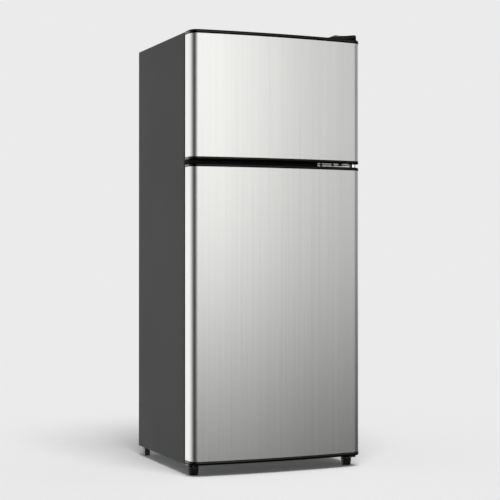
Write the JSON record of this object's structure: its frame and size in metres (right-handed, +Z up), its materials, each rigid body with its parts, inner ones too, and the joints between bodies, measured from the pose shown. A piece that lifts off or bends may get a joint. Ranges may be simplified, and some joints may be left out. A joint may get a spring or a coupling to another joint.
{
  "type": "top freezer refrigerator",
  "caption": "Compact refrigerator with a freezer door over a fridge door, both hinged on the right, with shelves, bins, crisper and rear compressor.",
  "frame": {"origin": "middle of the footprint on the floor", "axes": "+Z up, -Y is the front with the doors, +X is the hinge side, to the right of someone facing the doors"},
  "size_m": [0.461, 0.4404, 1.1008],
  "materials": {
    "cabinet_paint": "satin",
    "galvanised_sheet": "satin",
    "brushed_stainless": "satin",
    "gloss_black": "gloss",
    "foot_black": "satin",
    "white_liner": "satin",
    "insulation": "matte",
    "gasket": "matte",
    "nylon": "satin",
    "hinge_chrome": "polished",
    "black_enamel": "satin",
    "zinc_steel": "satin",
    "copper": "satin",
    "grommet_rubber": "matte",
    "evaporator_alu": "satin",
    "shelf_glass": "polished",
    "white_wire": "satin",
    "clear_bin": "gloss",
    "crisper_clear": "gloss",
    "lamp_lens": "satin",
    "bulb_glass": "gloss",
    "box_black": "satin",
    "drip_tray": "satin"
  },
  "bodies": {
    "cabinet": {"back_panel": "galvanised_sheet", "bottom_panel": "galvanised_sheet", "cabinet_foam": "insulation", "compressor": "black_enamel", "compressor_grommets": "grommet_rubber", "compressor_plate": "galvanised_sheet", "condenser_brackets": "box_black", "condenser_tube": "black_enamel", "condenser_wires": "black_enamel", "control_box": "nylon", "crisper_lid": "shelf_glass", "drain_tube": "nylon", "drip_tray": "drip_tray", "evaporator": "evaporator_alu", "filter_drier": "copper", "foot_studs": "zinc_steel", "freezer_liner": "white_liner", "freezer_shelf": "white_wire", "fridge_liner": "white_liner", "front_base_rail": "cabinet_paint", "hinge_screws": "zinc_steel", "lamp_bulb": "bulb_glass", "lamp_lens": "lamp_lens", "left_foot_bracket": "black_enamel", "lower_hinge_bracket": "black_enamel", "lower_shelf": "shelf_glass", "mid_hinge": "hinge_chrome", "mullion_rail": "cabinet_paint", "niche_panel": "galvanised_sheet", "outer_shell": "cabinet_paint", "rear_feet": "foot_black", "refrigerant_pipes": "copper", "shelf_trims": "nylon", "terminal_cover": "box_black", "top_hinge_bracket": "zinc_steel", "top_hinge_cover": "gloss_black", "upper_shelf": "shelf_glass"},
    "freezer_door": {"freezer_door_bin": "clear_bin", "freezer_door_bottom_cap": "gloss_black", "freezer_door_bushes": "nylon", "freezer_door_foam": "insulation", "freezer_door_gasket": "gasket", "freezer_door_liner": "white_liner", "freezer_door_skin": "brushed_stainless", "freezer_door_top_cap": "gloss_black"},
    "fridge_door": {"fridge_door_bottle_bin": "clear_bin", "fridge_door_bottom_cap": "gloss_black", "fridge_door_bushes": "nylon", "fridge_door_foam": "insulation", "fridge_door_gasket": "gasket", "fridge_door_liner": "white_liner", "fridge_door_middle_bin": "clear_bin", "fridge_door_skin": "brushed_stainless", "fridge_door_top_cap": "gloss_black", "fridge_door_upper_bin": "clear_bin"},
    "crisper_drawer": {"crisper_drawer": "crisper_clear"},
    "thermostat_knob": {"thermostat_knob": "white_liner"},
    "door_switch_plunger": {"door_switch_plunger": "nylon"},
    "left_foot": {"left_foot": "foot_black"},
    "right_foot": {"right_foot": "foot_black"}
  },
  "joints": [
    {"name": "freezer_door_hinge", "type": "hinge", "parent": "cabinet", "child": "freezer_door", "pos_m": [0.214, -0.18975, 0.76415], "axis": [0, 0, 1], "range_deg": [0, 130]},
    {"name": "fridge_door_hinge", "type": "hinge", "parent": "cabinet", "child": "fridge_door", "pos_m": [0.214, -0.18975, 0.76415], "axis": [0, 0, 1], "range_deg": [0, 130]},
    {"name": "crisper_slide", "type": "slide", "parent": "cabinet", "child": "crisper_drawer", "axis": [0, -1, 0], "range_m": [0, 0.002]},
    {"name": "thermostat_turn", "type": "hinge", "parent": "cabinet", "child": "thermostat_knob", "pos_m": [-0.038, -0.08775, 0.68615], "axis": [0, 0, -1], "range_deg": [0, 300]},
    {"name": "door_switch_press", "type": "slide", "parent": "cabinet", "child": "door_switch_plunger", "axis": [0, 1, 0], "range_m": [0, 0.003], "stiffness_N_per_m": 150},
    {"name": "left_foot_level", "type": "slide", "parent": "cabinet", "child": "left_foot", "axis": [0, 0, -1], "range_m": [0, 0.01]},
    {"name": "right_foot_level", "type": "slide", "parent": "cabinet", "child": "right_foot", "axis": [0, 0, -1], "range_m": [0, 0.01]}
  ]
}
